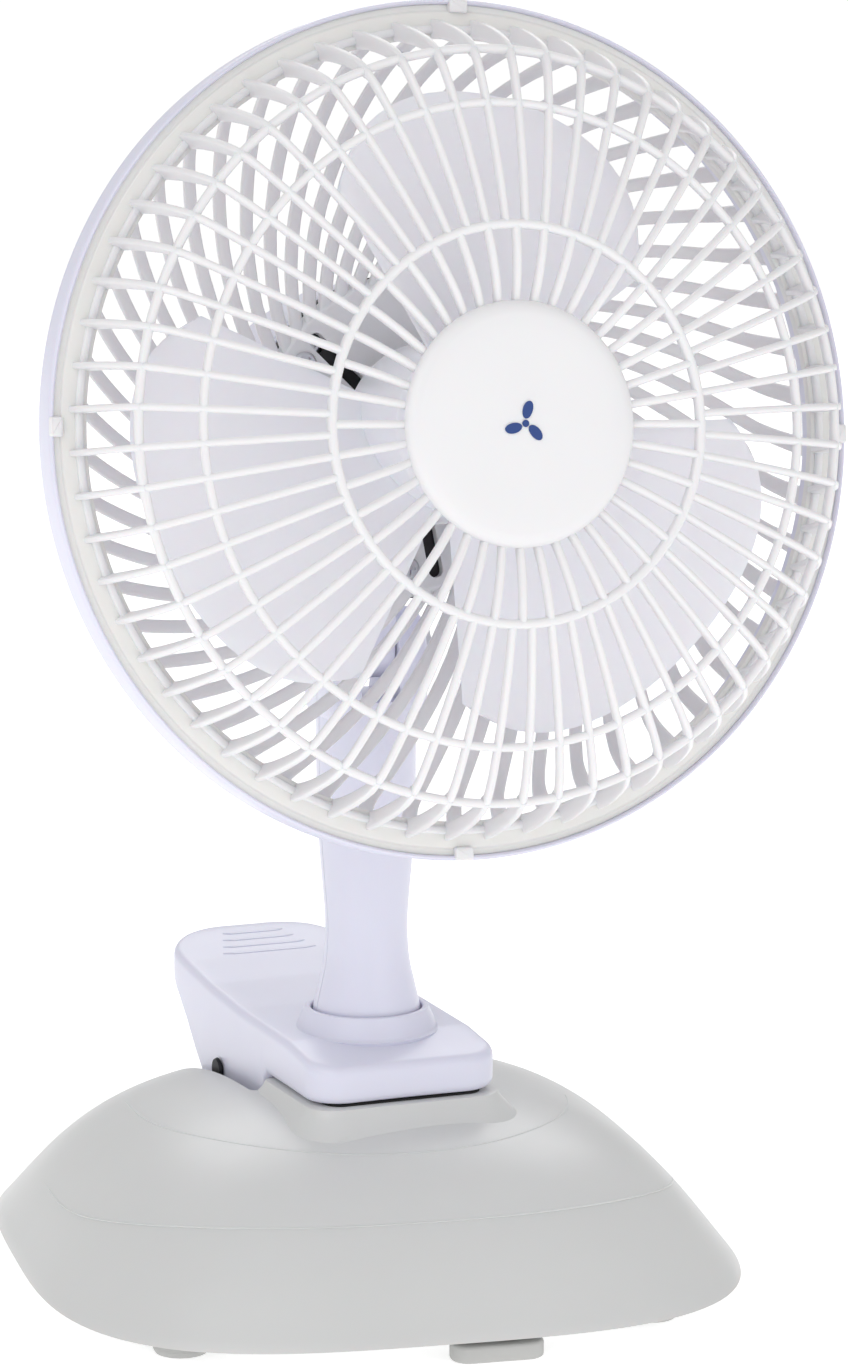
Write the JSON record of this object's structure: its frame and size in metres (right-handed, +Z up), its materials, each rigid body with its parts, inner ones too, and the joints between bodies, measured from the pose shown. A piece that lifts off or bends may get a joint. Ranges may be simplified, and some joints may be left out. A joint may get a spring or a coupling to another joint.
{
  "type": "desk fan",
  "caption": "Small clip-on desk fan on a weighted dome base: sprung clip, swivel and tilt neck, domed wire-like plastic guards, broad-bladed impeller and a rear speed knob.",
  "frame": {"origin": "bottom centre of the whole object's box, on the plane its feet stand on", "axes": "+Z up; -Y is the clip's and base's front, which the head roughly faces; +X is to the right when looking along +Y"},
  "size_m": [0.185, 0.192, 0.2953],
  "materials": {
    "base_grey": "glossy warm light grey moulding",
    "clip_white": "satin cool white moulding",
    "guard_white": "satin white moulding",
    "blade_white": "glossy slightly translucent white moulding",
    "black_plastic": "satin black moulding",
    "pad_rubber": "matt black rubber",
    "foot_rubber": "matt pale grey rubber",
    "steel": "zinc plated",
    "laminations": "stacked electrical steel",
    "cast_iron": "rough cast",
    "copper": "enamelled copper wire",
    "brass": "sintered bronze"
  },
  "bodies": {
    "stand": {"base_shell": "base_grey", "base_cover": "base_grey", "ballast_plate": "cast_iron", "foot_side_left_front": "foot_rubber", "foot_side_right_front": "foot_rubber", "foot_side_left_back": "foot_rubber", "foot_side_right_back": "foot_rubber", "foot_front": "foot_rubber", "cover_screw_1": "steel", "cover_screw_2": "steel", "cover_screw_3": "steel", "cover_screw_4": "steel", "upper_jaw": "clip_white", "upper_jaw_pad": "pad_rubber", "pivot_pin": "steel", "torsion_spring": "steel"},
    "lower_jaw": {"lower_jaw": "clip_white", "lower_jaw_pad": "pad_rubber"},
    "neck": {"neck_front_shell": "clip_white", "neck_rear_shell": "clip_white", "neck_shell_screw_1": "steel", "neck_shell_screw_2": "steel", "swivel_washer": "steel", "swivel_screw": "steel", "tilt_bolt": "steel", "tilt_nut": "steel"},
    "head": {"motor_housing": "clip_white", "motor_front_plate": "black_plastic", "housing_screw_1": "steel", "housing_screw_2": "steel", "housing_screw_3": "steel", "housing_screw_4": "steel", "stator_core": "laminations", "stator_coil": "copper", "front_bearing_bracket": "steel", "rear_bearing_bracket": "steel", "front_bush": "brass", "rear_bush": "brass", "speed_switch": "black_plastic", "cord_gland": "black_plastic", "rear_guard": "guard_white", "front_guard": "guard_white", "guard_screw_1": "steel", "guard_screw_2": "steel", "guard_screw_3": "steel", "hub_cap": "guard_white"},
    "rotor": {"impeller": "blade_white", "motor_shaft": "steel", "rotor_core": "laminations", "impeller_screw": "steel"},
    "speed_knob": {"speed_knob": "guard_white"}
  },
  "joints": [
    {"name": "clip_open", "type": "hinge", "parent": "stand", "child": "lower_jaw", "pos_m": [-0.01272, 0.03685, 0.042], "axis": [0.9895, 0.1444, 0], "range_deg": [0, 16], "stiffness_Nm_per_rad": 0.5, "springref_deg": -28.65, "deforming": ["torsion_spring"]},
    {"name": "neck_swivel", "type": "hinge", "parent": "stand", "child": "neck", "pos_m": [-0.00752, 0.00122, 0.06], "axis": [0, 0, 1], "range_deg": [-90, 90]},
    {"name": "head_tilt", "type": "hinge", "parent": "neck", "child": "head", "pos_m": [-0.00752, 0.00122, 0.148], "axis": [-0.9895, -0.1444, 0], "range_deg": [-33, 27]},
    {"name": "impeller_spin", "type": "hinge", "parent": "head", "child": "rotor", "pos_m": [0.00012, -0.05118, 0.20293], "axis": [0.1428, -0.9787, 0.1478], "continuous": true},
    {"name": "knob_turn", "type": "hinge", "parent": "head", "child": "speed_knob", "pos_m": [-0.01152, 0.02863, 0.18784], "axis": [0.1428, -0.9787, 0.1478], "range_deg": [0, 90]}
  ]
}
